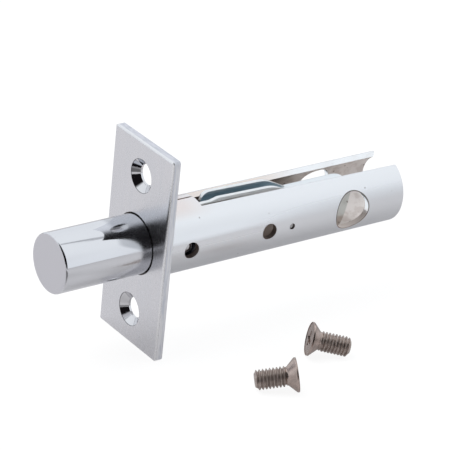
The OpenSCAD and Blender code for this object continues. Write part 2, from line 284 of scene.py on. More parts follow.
def parted(tree, vector):
    """The x, y and z of a vector."""
    return add(tree, "ShaderNodeSeparateXYZ", {0: vector}).outputs[:]


def arrange(tree):
    """Places the nodes in columns, each one to the left of all that it feeds."""
    columns = {node.name: 0 for node in tree.nodes}
    moved = True
    while moved:
        moved = False
        for wire in tree.links:
            left = columns[wire.to_node.name] + 1
            if columns[wire.from_node.name] < left:
                columns[wire.from_node.name] = left
                moved = True
    rows = {}
    for node in tree.nodes:
        column = columns[node.name]
        rows[column] = rows.get(column, 0) + 1
        node.location = (-220 * column, -200 * rows[column])


def by_ray(tree, mirrored, direct, kind):
    """Ends a tree: the camera sees one shader, and all that mirrors sees the other."""
    path = add(tree, "ShaderNodeLightPath").outputs["Is Camera Ray"]
    chosen = add(tree, "ShaderNodeMixShader", {0: path, 1: mirrored, 2: direct})
    add(tree, kind, {0: chosen.outputs[0]})
    arrange(tree)


# ---------------------------------------------------------------- node groups


def node_group(name, inputs, outputs, fill):
    """The named group, made on its first use from (name, kind, value) inputs."""
    group = bpy.data.node_groups.get(name)
    if group is not None:
        return group
    group = bpy.data.node_groups.new(name, "ShaderNodeTree")
    for label, kind, value in inputs:
        made = group.interface.new_socket(name=label, in_out="INPUT", socket_type=kind)
        if value is not None:
            made.default_value = value
    for label, kind in outputs:
        group.interface.new_socket(name=label, in_out="OUTPUT", socket_type=kind)
    given = group.nodes.new("NodeGroupInput").outputs[:len(inputs)]
    wanted = group.nodes.new("NodeGroupOutput").inputs
    for answer, target in zip(fill(group, *given), wanted):
        feed(group, answer, target)
    arrange(group)
    return group


def grain_group():
    """Fine scratches stretched along one way, and soft blotches."""
    def fill(g, where, stretch, blotch_scale):
        along = vectors(g, "MULTIPLY", where, stretch)
        lines = add(g, "ShaderNodeTexNoise",
                    {"Vector": along, "Scale": 1.0, "Detail": 4.0, "Roughness": 0.65})
        blotches = add(g, "ShaderNodeTexNoise",
                       {"Vector": where, "Scale": blotch_scale, "Detail": 3.0})
        return lines.outputs["Fac"], blotches.outputs["Fac"]

    return node_group(
        "Metal grain",
        (("Vector", "NodeSocketVector", None),
         ("Stretch", "NodeSocketVector", (1.0, 1.0, 1.0)),
         ("Blotch scale", "NodeSocketFloat", 400.0)),
        (("Lines", "NodeSocketFloat"), ("Blotches", "NodeSocketFloat")), fill,
    )


def speck_group():
    """Small scattered pits and dust."""
    def fill(g, where, scale, amount):
        cells = add(g, "ShaderNodeTexVoronoi", {"Vector": where, "Scale": scale},
                    feature="F1").outputs
        near = ramp(g, cells["Distance"], 0.26, 0.10)
        chance = add(g, "ShaderNodeSeparateColor", {0: cells["Color"]}).outputs[0]
        return (product(g, near, maths(g, "LESS_THAN", chance, amount)),)

    return node_group(
        "Specks",
        (("Vector", "NodeSocketVector", None), ("Scale", "NodeSocketFloat", 900.0),
         ("Amount", "NodeSocketFloat", 0.3)),
        (("Mask", "NodeSocketFloat"),), fill,
    )


def edge_group():
    """Rounded normals along the edges, and a mask of where the edges are."""
    def fill(g, radius):
        bevel = add(g, "ShaderNodeBevel", {"Radius": radius}, samples=6)
        worn_off = bevel.outputs["Normal"]
        flat = add(g, "ShaderNodeNewGeometry").outputs["Normal"]
        likeness = vectors(g, "DOT_PRODUCT", worn_off, flat)
        return worn_off, ramp(g, likeness, 0.995, 0.80)

    return node_group(
        "Worn edges", (("Radius", "NodeSocketFloat", 0.16 * MM),),
        (("Normal", "NodeSocketVector"), ("Mask", "NodeSocketFloat")), fill,
    )


def use_group(tree, group, **values):
    """Adds a group; an input's name has underscores here for its spaces."""
    inputs = {name.replace("_", " "): value for name, value in values.items()}
    return add(tree, "ShaderNodeGroup", inputs, node_tree=group).outputs


# ---------------------------------------------------------------- the metals


def metal(name, roughness):
    """A new metal: its tree, its shader's inputs, its coordinates and their parts."""
    material = bpy.data.materials.new(name)
    material.use_nodes = True
    tree = material.node_tree
    shader = tree.nodes["Principled BSDF"].inputs
    shader["Metallic"].default_value = 1.0
    shader["Roughness"].default_value = roughness
    where = add(tree, "ShaderNodeTexCoord").outputs["Object"]
    return material, tree, shader, where, parted(tree, where)


def finished(material, shader, colour, roughness, height, depth, normal=None,
             metallic=None):
    """Wires a metal's colour, gloss and fine relief to its shader."""
    tree = material.node_tree
    relief = {"Strength": 1.0, "Distance": depth, "Height": height}
    if normal is not None:
        relief["Normal"] = normal
    feed(tree, colour, shader["Base Color"])
    feed(tree, roughness, shader["Roughness"])
    feed(tree, add(tree, "ShaderNodeBump", relief).outputs["Normal"], shader["Normal"])
    if metallic is not None:
        feed(tree, metallic, shader["Metallic"])
    arrange(tree)
    return material


def satin_chrome(scene):
    """Finely brushed along the plate, with polished holes and a bright rounded edge."""
    finish = scene.bolt_finishes
    material, tree, shader, where, (x, y, z) = metal("Satin chrome", 0.26)
    grain = use_group(tree, grain_group(), Vector=where,
                      Stretch=(9000.0, 9000.0, 220.0), Blotch_scale=700.0)
    streaks = use_group(tree, grain_group(), Vector=where,
                        Stretch=(1900.0, 500.0, 90.0), Blotch_scale=2200.0)
    edges = use_group(tree, edge_group(), Radius=scene.bolt_sizes.softening)

    # Where the plate's parts are
    up, across = size_of(tree, z), size_of(tree, y)
    back = zone(tree, x, -0.12, -0.04)
    fore = inverse(tree, back)
    from_screw = off_axis(tree, y, less(tree, up, SCREW_HOLE_Z))
    near_screw = product(tree, zone(tree, from_screw, 0.02, -0.02, at=COUNTERSINK_R),
                         fore)
    near_bolt = product(tree, zone(tree, off_axis(tree, y, z), 0.24, 0.20, at=BORE_R),
                        fore)
    polished = either(tree, near_screw, near_bolt)
    behind = zone(tree, x, 0.45, 0.75, at=PLATE_FRONT)
    outside = maths(tree, "SUBTRACT", behind, polished, clamp=True)
    past_face = zone(tree, x, 0.02, 0.12, at=PLATE_FRONT)
    band = maths(tree, "SUBTRACT", past_face, behind, clamp=True)
    band = maths(tree, "SUBTRACT", band, polished, clamp=True)
    turned_edge = zone(tree, x, 0.604, 0.60, at=PLATE_FRONT)
    upright = product(tree, turned_edge,
                      zone(tree, across, -0.64, -0.54, at=PLATE_SIDE))

    # Gloss
    dulled = product(tree, either(tree, outside, band), inverse(tree, upright))
    rough = scaled(tree, dulled, 0.24, scaled(tree, grain["Lines"], 0.12, 0.17))
    mottled = scaled(tree, grain["Blotches"], 0.07, rough)
    gloss = product(tree, mottled, scaled(tree, polished, -0.85, 1.0))

    # Colour
    tone = ramp(tree, streaks["Lines"], 0.42, 0.56)
    flank = mix_colour(tree, tone, (0.80, 0.82, 0.88), (0.98, 0.98, 1.0))
    ends = mix_colour(tree, tone, (0.72, 0.735, 0.78), (0.82, 0.82, 0.875))
    drawn = mix_colour(tree, zone(tree, up, -0.3, -0.1, at=PLATE_END), flank, ends)
    drawn = mix_colour(tree, product(tree, back, 0.8), drawn, (0.82, 0.83, 0.87))
    cloud = ramp(tree, streaks["Lines"], 0.3, 0.7, 0.0, 0.35)
    face = mix_colour(tree, cloud, finish.satin, (0.80, 0.82, 0.86))
    colour = mix_colour(tree, outside, face, drawn)
    # The rounded front edge is painted near white: a painted highlight along it
    colour = mix_colour(tree, band, colour, (0.97, 0.975, 0.99))
    bored = mix_colour(tree, near_screw, colour, (0.78, 0.78, 0.80))
    # A thin dark ring is painted at each countersink's rim: painted shade
    lip = product(tree, zone(tree, from_screw, -0.18, -0.06, at=COUNTERSINK_R),
                  near_screw)
    bored = mix_colour(tree, lip, bored, (0.16, 0.16, 0.17))
    # The wall of the bolt's hole is painted near black: painted shade in the gap round
    # the bolt
    colour = mix_colour(tree, near_bolt, bored, (0.10, 0.10, 0.10))
    worn = product(tree, edges["Mask"], finish.wear * 0.3)
    colour = mix_colour(tree, worn, colour, (0.92, 0.92, 0.94))

    # The plate's upright edges are rolled over
    beside = product(tree, zone(tree, across, -0.10, -0.04, at=PLATE_SIDE),
                     inverse(tree, turned_edge))
    leaned = tilted(tree, edges["Normal"], upright, (-1.85, 0.0, 0.0))
    normal = tilted(tree, leaned, beside, (0.0, 0.0, 0.28))
    return finished(material, shader, colour, gloss, grain["Lines"], 0.0022 * MM,
                    normal)


def bright_strip(scene):
    """Plated strip: bright outside, bare and speckled inside, beige where it is cut."""
    finish = scene.bolt_finishes
    material, tree, shader, where, (x, y, z) = metal("Bright rolled strip", 0.1)
    radius = off_axis(tree, y, z)
    grain = use_group(tree, grain_group(), Vector=where,
                      Stretch=(160.0, 5200.0, 5200.0), Blotch_scale=320.0)
    specks = use_group(tree, speck_group(), Vector=where, Scale=650.0, Amount=0.30)
    rare = use_group(tree, speck_group(), Vector=where, Scale=800.0, Amount=0.02)
    edges = use_group(tree, edge_group(), Radius=scene.bolt_sizes.softening)

    # Inner face, outer face and the cut edges between them
    inside = zone(tree, radius, 0.10, 0.04, at=BORE_R)
    skin = zone(tree, radius, -0.12, -0.05, at=BARREL_R)
    plated = mix_colour(tree, product(tree, rare["Mask"], 0.6), finish.bright,
                        (0.25, 0.24, 0.24))
    low = zone(tree, z, 6.5, 5.5)
    ahead = zone(tree, x, 50.0, 48.0)
    behind = inverse(tree, ahead)

    # The bare inner face: painted shade deep inside, and a strip of painted shade that
    # the key hole throws
    open_end = zone(tree, x, 44.0, 56.0)
    lined = mix_colour(tree, open_end, finish.shade, finish.bare)
    mottle = ramp(tree, grain["Blotches"], 0.48, 0.62, 0.0, 0.30)
    lined = mix_colour(tree, mottle, lined, (0.50, 0.41, 0.36))
    lit_edge = scaled(tree, y, 1.15, 66.6 * MM)
    shaded_strip = zone(tree, less(tree, lit_edge, x), -0.15, 0.25, 0.0, 0.66)
    shaded_strip = product(tree, shaded_strip, open_end, zone(tree, z, -1.0, -2.5))
    # Painted shade, grey-green towards the far side, in the strip by the key hole, with
    # brown stains near the middle
    stain_and_shade = mix_colour(tree, zone(tree, y, 0.8, 2.8), (0.36, 0.26, 0.20),
                         (0.52, 0.55, 0.52))
    lined = mix_colour(tree, shaded_strip, lined, stain_and_shade)
    soiled = product(tree, specks["Mask"], 0.8)
    soil_and_shade = mix_colour(tree, soiled, lined, (0.16, 0.12, 0.09))

    # Cut edges
    pale = ramp(tree, grain["Blotches"], 0.3, 0.7, 0.0, 0.25)
    rear = zone(tree, x, 38.0, 54.0)
    edge = mix_colour(tree, rear, finish.cut, (0.96, 0.98, 1.0))
    cut = mix_colour(tree, pale, edge, (0.90, 0.88, 0.87))
    # The side holes' walls are painted dark brown: painted shade inside the holes
    bored = product(tree, low, ahead)
    cut = mix_colour(tree, bored, cut, (0.36, 0.29, 0.26))
    under = product(tree, zone(tree, z, 0.5, -2.5), behind)
    cut = mix_colour(tree, under, cut, (0.86, 0.78, 0.73))
    body = mix_colour(tree, inside, cut, soil_and_shade)

    # Plated outer face, worn edges, a dark outline round the key hole and the rear
    # edges, and the seam
    front = zone(tree, x, 20.0, 8.0)
    upper = zone(tree, z, 6.8, 9.5, 0.0, 0.62)
    warm = product(tree, front, upper)
    plated = mix_colour(tree, warm, plated, (0.86, 0.73, 0.685))
    colour = mix_colour(tree, skin, body, plated)
    worn = product(tree, edges["Mask"], finish.wear * 0.4)
    colour = mix_colour(tree, worn, colour, (0.93, 0.93, 0.94))
    # A dark outline round the key hole and the rear edges, brown lower down
    rim = product(tree, ramp(tree, edges["Mask"], 0.05, 0.35), low, behind)
    from_key = off_axis(tree, less(tree, x, KEY_HOLE_X), z)
    ring = zone(tree, from_key, 0.28, 0.20, at=KEY_HOLE_R)
    rim = either(tree, rim, product(tree, ring, skin))
    hole_outline = mix_colour(tree, zone(tree, z, -1.0, -3.0), (0.20, 0.18, 0.17),
                      (0.50, 0.41, 0.36))
    colour = mix_colour(tree, rim, colour, hole_outline)
    seam = product(tree, zone(tree, size_of(tree, less(tree, y, SEAM_Y)), 0.36, 0.22),
                   zone(tree, z, 7.0, 7.1), zone(tree, x, 0.1, -0.9, at=SLOT_START))
    colour = mix_colour(tree, seam, colour, (0.17, 0.11, 0.09))

    # Gloss
    beside = zone(tree, z, 6.0, 3.4)
    further = zone(tree, x, 14.0, 60.0)
    below = zone(tree, z, 1.6, -0.6)
    spread = either(tree, product(tree, beside, further), below)
    dull = scaled(tree, spread, 0.17, 0.16)
    bright = scaled(tree, grain["Lines"], 0.1, dull)
    rough = scaled(tree, grain["Blotches"], 0.3, 0.30)
    rear_half = product(tree, zone(tree, x, 50.0, 53.0), zone(tree, z, -2.0, -0.5))
    upright = either(tree, rear_half, zone(tree, z, 6.3, 7.2))
    rolled = maths(tree, "SUBTRACT", 1.0, maths(tree, "ADD", inside, skin), clamp=True)
    rolled = product(tree, rolled, upright)
    rough = less(tree, rough, product(tree, rolled, 0.3))
    gloss = scaled(tree, skin, less(tree, bright, rough), rough)
    chalky = scaled(tree, either(tree, skin, rolled), 0.6, 0.4)
    normal = tilted(tree, edges["Normal"], rolled, (0.0, 0.0, 1.4))
    return finished(material, shader, colour, gloss, grain["Lines"], 0.0025 * MM,
                    normal, chalky)


def polished_chrome(scene):
    """Mirror chrome on the round, and fine turned rings on the satin end face."""
    material, tree, shader, where, (x, y, z) = metal("Polished chrome", 0.04)
    radius = off_axis(tree, y, z)
    turning = {"W": radius, "Scale": 7000.0, "Detail": 3.0}
    rings = add(tree, "ShaderNodeTexNoise", turning, noise_dimensions="1D").outputs[0]
    grain = use_group(tree, grain_group(), Vector=where, Stretch=(500.0, 500.0, 500.0),
                      Blotch_scale=160.0)
    front = zone(tree, x, 0.12, 0.05, at=NOSE_X)

    # Gloss: a mirror, worn duller where it slides, and a satin end face
    used = zone(tree, x, -16.0, -5.0, 0.015, 0.16)
    below = zone(tree, z, 2.6, 0.6, 0.0, 0.13)
    mirror = scaled(tree, grain["Blotches"], 0.05, either(tree, used, below))
    faced = scaled(tree, rings, 0.15, 0.24)
    gloss = scaled(tree, front, less(tree, faced, mirror), mirror)

    # Colour: darker beside the plate, a painted reflection of the unlit room that the
    # bolt mirrors there
    tone = ramp(tree, grain["Blotches"], 0.2, 0.8, 0.0, 0.25)
    chrome = mix_colour(tree, tone, scene.bolt_finishes.polished, (0.74, 0.75, 0.79))
    wider = either(tree, zone(tree, z, -0.6, -8.2, 0.0, 11.0 * MM),
                   zone(tree, z, 2.0, 5.0, 0.0, 6.0 * MM))
    painted_reflection = zone(tree, maths(tree, "ADD", x, wider), -6.8, -4.6, 0.0, 0.8)
    chrome = mix_colour(tree, painted_reflection, chrome, (0.50, 0.51, 0.545))
    colour = mix_colour(tree, front, chrome, (0.745, 0.745, 0.785))
    return finished(material, shader, colour, gloss, product(tree, rings, front),
                    0.004 * MM)


def zinc_plate(scene):
    """Blue-white zinc, with painted shade down in the trough between the guide walls.
    """
    finish = scene.bolt_finishes
    material, tree, shader, where, (x, y, z) = metal("Zinc plate", 0.3)
    grain = use_group(tree, grain_group(), Vector=where,
                      Stretch=(260.0, 4200.0, 4200.0), Blotch_scale=600.0)
    edges = use_group(tree, edge_group(), Radius=scene.bolt_sizes.softening)
    across = size_of(tree, y)
    # Painted shade down in the trough between the guide walls
    trough = product(tree, zone(tree, across, 1.54, 1.50), zone(tree, z, 9.2, 8.2),
                     zone(tree, x, 46.5, 44.5))
    flank = zone(tree, across, -0.06, -0.02, at=TAIL_SIDE)
    tone = ramp(tree, grain["Blotches"], 0.3, 0.7, 0.0, 0.22)
    skin = mix_colour(tree, tone, finish.zinc, (0.60, 0.66, 0.70))
    streak = ramp(tree, grain["Lines"], 0.35, 0.7, 0.0, 0.5)
    dark = mix_colour(tree, streak, finish.trough, (0.50, 0.58, 0.62))
    colour = mix_colour(tree, trough, skin, dark)
    worn = product(tree, edges["Mask"], finish.wear)
    colour = mix_colour(tree, worn, colour, (0.95, 0.97, 0.98))
    # A painted shadow along the foot of the guide walls' outer faces, in the gap by the
    # slot's edges
    gap_shadow = product(tree, zone(tree, z, 8.6, 8.25),
                   zone(tree, x, 20.0, 34.0, 0.97, 0.15), zone(tree, across, 2.4, 2.5))
    bar = product(tree, zone(tree, z, 6.6, 6.0), zone(tree, x, 45.0, 47.0))
    colour = mix_colour(tree, bar, colour, (0.93, 0.97, 1.0))
    colour = mix_colour(tree, gap_shadow, colour, (0.10, 0.08, 0.065))
    gloss = scaled(tree, grain["Lines"], 0.25, 0.28)
    chalky = scaled(tree, flank, -0.8, 1.0)
    leaned = tilted(tree, edges["Normal"], bar, (0.0, -0.45, 0.0))
    normal = tilted(tree, leaned, flank, (0.0, 0.0, 0.6))
    return finished(material, shader, colour, gloss, grain["Lines"], 0.006 * MM, normal,
                    chalky)


def small_metal(name, colour, dark, low, high, blotch, relief=0.003, metallic=1.0):
    """A small part's metal: cloudy colour, uneven gloss and faint marks."""
    material, tree, shader, where, _ = metal(name, low)
    grain = use_group(tree, grain_group(), Vector=where,
                      Stretch=(2500.0, 2500.0, 2500.0), Blotch_scale=blotch)
    cloudy = mix_colour(tree, ramp(tree, grain["Blotches"], 0.3, 0.7), dark, colour)
    gloss = scaled(tree, grain["Lines"], high - low, low)
    return finished(material, shader, cloudy, gloss, grain["Lines"], relief * MM, None,
                    metallic)


def pin_steel(scene):
    """Plain steel for the travel stop pin."""
    return small_metal("Pin steel", scene.bolt_finishes.steel, (0.42, 0.41, 0.41), 0.25,
                       0.5, 1200.0)


def repaint(node, material):
    """Gives a CAD node, whose shape is right, a better material."""
    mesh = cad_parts[node].data
    mesh.materials.clear()
    mesh.materials.append(material)


# ---------------------------------------------------------------- mesh helpers


def turned(bm, profile, steps, turn=None):
    """Spins a profile of (x, radius) points about the X axis into a round piece."""
    verts = [bm.verts.new((x, 0.0, r)) for x, r in profile]
    edges = [bm.edges.new(pair) for pair in zip(verts, verts[1:])]
    bmesh.ops.spin(
        bm, geom=verts + edges, cent=(0, 0, 0), axis=(1, 0, 0), angle=2 * math.pi,
        steps=steps, use_merge=True,
    )
    bmesh.ops.remove_doubles(bm, verts=bm.verts, dist=1e-7)
    bmesh.ops.recalc_face_normals(bm, faces=bm.faces)
    if turn is not None:
        bmesh.ops.transform(bm, matrix=turn, verts=bm.verts)


def piece(bm, name, body, nodes, material, smooth=30.0, second=None):
    """Makes the finished object, in place of its CAD nodes, on its body."""
    mesh = bpy.data.meshes.new(name)
    bm.to_mesh(mesh)
    bm.free()
    for face in mesh.polygons:
        face.use_smooth = True
    mesh.set_sharp_from_angle(angle=math.radians(smooth))
    mesh.materials.append(material)
    if second is not None:
        mesh.materials.append(second)
    made = bpy.data.objects.new(name, mesh)
    bpy.context.scene.collection.objects.link(made)
    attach(made, body)
    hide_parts(*nodes)


def rounded(x, r, corner, steps=4):
    """Points of a quarter round corner about (x, r), from its side to its top."""
    turns = [math.pi / 2 * i / steps for i in range(steps + 1)]
    return [(x + corner * math.cos(a), r + corner * math.sin(a)) for a in turns]


def screw_mesh(sizes):
    """One fixing screw with its head's face at the origin, facing +X."""
    bm = bmesh.new()
    pitch, steps = sizes.screw_pitch, 40
    r_out, r_core = sizes.screw_d / 2, sizes.screw_core_d / 2
    head_r, rim = sizes.screw_head_d / 2, sizes.screw_rim
    neck_r = (r_out + r_core) / 2
    top = -(rim + head_r - r_out + sizes.screw_neck)
    end = -sizes.screw_len
    turns = int((top - end) / pitch) + 3
    form = [(0.0, r_core), (0.08, r_core + 0.02 * MM), (0.40, r_out - 0.03 * MM),
            (0.46, r_out), (0.54, r_out), (0.60, r_out - 0.03 * MM),
            (0.92, r_core + 0.02 * MM), (1.0, r_core)]
    verts = [bm.verts.new((top + pitch * (1 - along), 0.0, r)) for along, r in form]
    edges = [bm.edges.new(pair) for pair in zip(verts, verts[1:])]
    bmesh.ops.spin(
        bm, geom=verts + edges, cent=(0, 0, 0), axis=(1, 0, 0),
        dvec=(-pitch / steps, 0, 0), angle=2 * math.pi * turns, steps=steps * turns,
        use_merge=False,
    )
    bmesh.ops.remove_doubles(bm, verts=bm.verts, dist=2e-6)
    for plane, side in ((top, 1), (end, -1)):
        bmesh.ops.bisect_plane(
            bm, geom=bm.verts[:] + bm.edges[:] + bm.faces[:], plane_co=(plane, 0, 0),
            plane_no=(side, 0, 0), clear_outer=True, dist=1e-7,
        )
    # The thread runs out towards the neck and the tip, and the end is chamfered
    run_out, chamfer = 0.9, 0.35 * MM
    for vert in bm.verts:
        x, across = vert.co.x, math.hypot(vert.co.y, vert.co.z)
        limits = [neck_r + run_out * (top - x),
                  r_core + run_out * max(0.0, x - end - sizes.screw_tip)]
        if x - end < chamfer:
            limits.append(r_core - chamfer + (x - end))
        limit = min(limits)
        if across > limit:
            vert.co.y *= limit / across
            vert.co.z *= limit / across
    bmesh.ops.remove_doubles(bm, verts=bm.verts, dist=4e-6)
    bmesh.ops.holes_fill(bm, edges=[e for e in bm.edges if e.is_boundary], sides=0)
    bmesh.ops.recalc_face_normals(bm, faces=bm.faces)
    add_head(bm, sizes, top, neck_r)
    return bm


def add_head(bm, sizes, top, neck_r):
    """Adds the countersunk head, with its neck and its cross recess."""
    head = bmesh.new()
    head_r, rim, lip_r = sizes.screw_head_d / 2, sizes.screw_rim, 0.16 * MM
    cone_end = -(rim + head_r - neck_r)
    lip = rounded(-lip_r, head_r - lip_r, lip_r)
    neck = [(top - 0.4 * MM, 0.0), (top - 0.4 * MM, neck_r - 0.35 * MM), (top, neck_r)]
    fillet = [(cone_end - 0.22 * MM, neck_r),
              (cone_end - 0.06 * MM, neck_r + 0.03 * MM),
              (cone_end + 0.12 * MM, neck_r + 0.14 * MM)]
    edge = [(-rim - 0.06 * MM, head_r - 0.08 * MM), (-rim + 0.02 * MM, head_r)]
    turned(head, neck + fillet + edge + lip, 72)
    arm, half = sizes.recess_span / 2, sizes.recess_w / 2
    star = []
    for quarter in range(4):
        c, s = math.cos(quarter * math.pi / 2), math.sin(quarter * math.pi / 2)
        for y, z in ((arm, -half), (arm, half), (half, half)):
            star.append(head.verts.new((0.0, c * y - s * z, s * y + c * z)))
    rim_edges = [e for e in head.edges if e.is_boundary]
    star_edges = [head.edges.new(pair) for pair in zip(star, star[1:] + star[:1])]
    bmesh.ops.triangle_fill(head, use_beauty=True, edges=rim_edges + star_edges)
    walls = bmesh.ops.extrude_edge_only(head, edges=star_edges)["geom"]
    low = [v for v in walls if isinstance(v, bmesh.types.BMVert)]
    bmesh.ops.scale(head, vec=(1.0, RECESS_TAPER, RECESS_TAPER), verts=low)
    bmesh.ops.translate(head, vec=(-sizes.recess_depth, 0, 0), verts=low)
    sides = [e for e in walls if isinstance(e, bmesh.types.BMEdge)]
    bmesh.ops.contextual_create(head, geom=[e for e in sides if e.is_boundary])
    bmesh.ops.recalc_face_normals(head, faces=head.faces)
    for face in head.faces:
        face.material_index = 1
    spare = bpy.data.meshes.new("head")
    head.to_mesh(spare)
    head.free()
    bm.from_mesh(spare)
    bpy.data.meshes.remove(spare)


def lying(x, side, height, tilt, turn):
    """Places a loose screw by its head's middle, its tilt and the way it points."""
    return (
        Matrix.Translation((x, -side, height))
        @ Matrix.Rotation(turn, 4, "Z")
        @ Matrix.Rotation(-tilt, 4, "Y")
    )


# ---------------------------------------------------------------- studio


def towards(turn, rise):
    """A unit vector by its turn round the object, where 0 is -Y, and its rise."""
    return Vector((math.sin(turn) * math.cos(rise), -math.cos(turn) * math.cos(rise),
                   math.sin(rise)))


def glowing(tree, colour, glow, strength):
    """A matt surface that also gives off light of its own."""
    matt = add(tree, "ShaderNodeBsdfDiffuse", {"Color": colour}).outputs[0]
    lamp = add(tree, "ShaderNodeEmission", {"Color": glow, "Strength": strength})
    return add(tree, "ShaderNodeAddShader", {0: matt, 1: lamp.outputs[0]}).outputs[0]


def pale_floor(studio):
    """White to the camera. The metals mirror a greyer one, with a painted dark patch
    and painted shade beneath.
    """
    material = bpy.data.materials.new("Pale floor")
    material.use_nodes = True
    tree = material.node_tree
    tree.nodes.clear()
    x, y, _ = parted(tree, add(tree, "ShaderNodeTexCoord").outputs["Object"])
    # Painted shade as the metals see the floor: a dark patch beside the camera and a
    # shade beneath the object
    from_patch = off_axis(tree, less(tree, x, DARK_PATCH[0]),
                          less(tree, y, DARK_PATCH[1]))
    fade = zone(tree, from_patch, 70.0, 125.0, 0.22, 1.0)
    beneath = size_of(tree, less(tree, y, SHADE_Y))
    shaded = product(tree, zone(tree, beneath, 0.0, 75.0, 0.28, 0.0),
                     zone(tree, x, -4.0, 8.0))
    fade = product(tree, fade, inverse(tree, shaded))
    seen = mix_colour(tree, fade, (0.0, 0.0, 0.0), studio.floor)
    mirrored = glowing(tree, seen, seen, 1.0)
    direct = glowing(tree, (0.17, 0.17, 0.17), (1.0, 1.0, 1.0), 0.9)
    by_ray(tree, mirrored, direct, "ShaderNodeOutputMaterial")
    return material


def soft_world(studio):
    """White to the camera. The metals mirror lit panels and an unlit side."""
    world = bpy.data.worlds.new("Soft studio")
    world.use_nodes = True
    tree = world.node_tree
    tree.nodes.clear()
    way = add(tree, "ShaderNodeTexCoord").outputs["Generated"]
    _, y, z = parted(tree, way)
    joint = size_of(tree, vectors(tree, "DOT_PRODUCT", way, PANEL_JOINT))
    gap = either(tree, ramp(tree, joint, 0.0018, 0.0060), ramp(tree, y, -0.16, -0.20))
    sky = mix_colour(tree, ramp(tree, z, -0.05, 0.9), (0.84, 0.87, 0.91), studio.sky)
    lit = mix_colour(tree, gap, (0.38, 0.39, 0.42), sky)
    middle = towards(studio.room_turn, studio.room_rise)
    unlit = vectors(tree, "DOT_PRODUCT", way, middle)
    room = ramp(tree, unlit, math.cos(studio.room_spread),
                math.cos(studio.room_spread * 0.72))
    lit = mix_colour(tree, room, lit, (0.008, 0.007, 0.008))
    mirrored = add(tree, "ShaderNodeBackground", {"Color": lit}).outputs[0]
    direct = add(tree, "ShaderNodeBackground", {"Color": (1.0, 1.0, 1.0)}).outputs[0]
    by_ray(tree, mirrored, direct, "ShaderNodeOutputWorld")
    return world


# ---------------------------------------------------------------- operators


class BOLT_OT_studio(Operator):
    """Make the floor, the light and the camera"""

    bl_idname = "bolt.studio"
    bl_label = "Studio"

    def execute(self, context):
        studio = context.scene.bolt_studio
        self.floor(studio)
        context.scene.world = soft_world(studio)
        self.lamp(studio)
        self.camera(context.scene, studio)
        context.scene.view_settings.view_transform = "Standard"
        return {"FINISHED"}

    def floor(self, studio):
        bm = bmesh.new()
        bmesh.ops.create_grid(bm, x_segments=1, y_segments=1, size=3.0)
        bmesh.ops.translate(bm, vec=(0, 0, FLOOR_Z - FLOOR_GAP), verts=bm.verts)
        mesh = bpy.data.meshes.new("Floor")
        bm.to_mesh(mesh)
        bm.free()
        made = bpy.data.objects.new("Floor", mesh)
        bpy.context.scene.collection.objects.link(made)
        mesh.materials.append(pale_floor(studio))

    def lamp(self, studio):
        data = bpy.data.lights.new("Soft key", "AREA")
        data.shape, data.size, data.size_y = "RECTANGLE", 0.5, 0.4
        data.energy = studio.key
        made = bpy.data.objects.new("Soft key", data)
        made.location = (-0.25, 0.15, 0.55)
        made.rotation_mode = "QUATERNION"
        made.rotation_quaternion = (-made.location).to_track_quat("-Z", "Y")
        made.visible_glossy = False
        bpy.context.scene.collection.objects.link(made)

    def camera(self, scene, studio):
        turn, rise, roll = studio.camera_turn, studio.camera_rise, studio.camera_roll
        back = towards(turn, rise)
        right = Vector((0, 0, 1)).cross(back).normalized()
        up = back.cross(right)
        c, s = math.cos(roll), math.sin(roll)
        axes = Matrix((c * right + s * up, c * up - s * right, back)).transposed()
        data = bpy.data.cameras.new("Camera")
        data.lens, data.sensor_width = studio.camera_lens, 36.0
        data.clip_start, data.clip_end = 0.01, 20.0
        made = bpy.data.objects.new("Camera", data)
        made.matrix_world = Matrix.Translation(studio.camera_place) @ axes.to_4x4()
        scene.collection.objects.link(made)
        scene.camera = made


class BOLT_OT_faceplate(Operator):
    """Finish the faceplate in brushed satin chrome"""

    bl_idname = "bolt.faceplate"
    bl_label = "Faceplate"

    def execute(self, context):
        repaint("faceplate", satin_chrome(context.scene))
        return {"FINISHED"}


class BOLT_OT_barrel(Operator):
    """Finish the barrel as plated rolled strip"""

    bl_idname = "bolt.barrel"
    bl_label = "Barrel"

    def execute(self, context):
        repaint("barrel", bright_strip(context.scene))
        return {"FINISHED"}


class BOLT_OT_rod(Operator):
    """Finish the bolt in mirror chrome with a satin end face"""

    bl_idname = "bolt.rod"
    bl_label = "Bolt"

    def execute(self, context):
        repaint("bolt_rod", polished_chrome(context.scene))
        return {"FINISHED"}


class BOLT_OT_tail(Operator):
    """Finish the toothed tail in zinc plate"""

    bl_idname = "bolt.tail"
    bl_label = "Toothed tail"

    def execute(self, context):
        repaint("rack_tail", zinc_plate(context.scene))
        return {"FINISHED"}


class BOLT_OT_rivets(Operator):
    """Make the two domed rivets that hold the tail to the bolt"""

    bl_idname = "bolt.rivets"
    bl_label = "Tail rivets"

    def execute(self, context):
        sizes, finish = context.scene.bolt_sizes, context.scene.bolt_finishes
        material = small_metal("Rivet steel", finish.steel, (0.40, 0.40, 0.41), 0.22,
                               0.45, 900.0)
        for node in ("tail_rivet_front", "tail_rivet_rear"):
            low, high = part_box(node)
            middle = (low + high) / 2
            shank = (high.z - low.z) - sizes.rivet_head_h
            head, shank_r = sizes.rivet_head_d / 2, sizes.rivet_shank_d / 2
            dome = [
                (sizes.rivet_head_h * math.sin(a), head * math.cos(a))
                for a in (math.radians(12 + 78 * i / 8) for i in range(8))
            ]
            bm = bmesh.new()
            turned(bm, [(-shank, 0.0), (-shank, shank_r), (0.0, shank_r), (0.0, head)]
                   + dome + [(sizes.rivet_head_h, 0.0)], 48,
                   Matrix.Translation((middle.x, middle.y, high.z - sizes.rivet_head_h))
                   @ Matrix.Rotation(-math.pi / 2, 4, "Y"))
            piece(bm, node.replace("tail_", ""), "bolt", [node], material,
                  40.0)
        return {"FINISHED"}


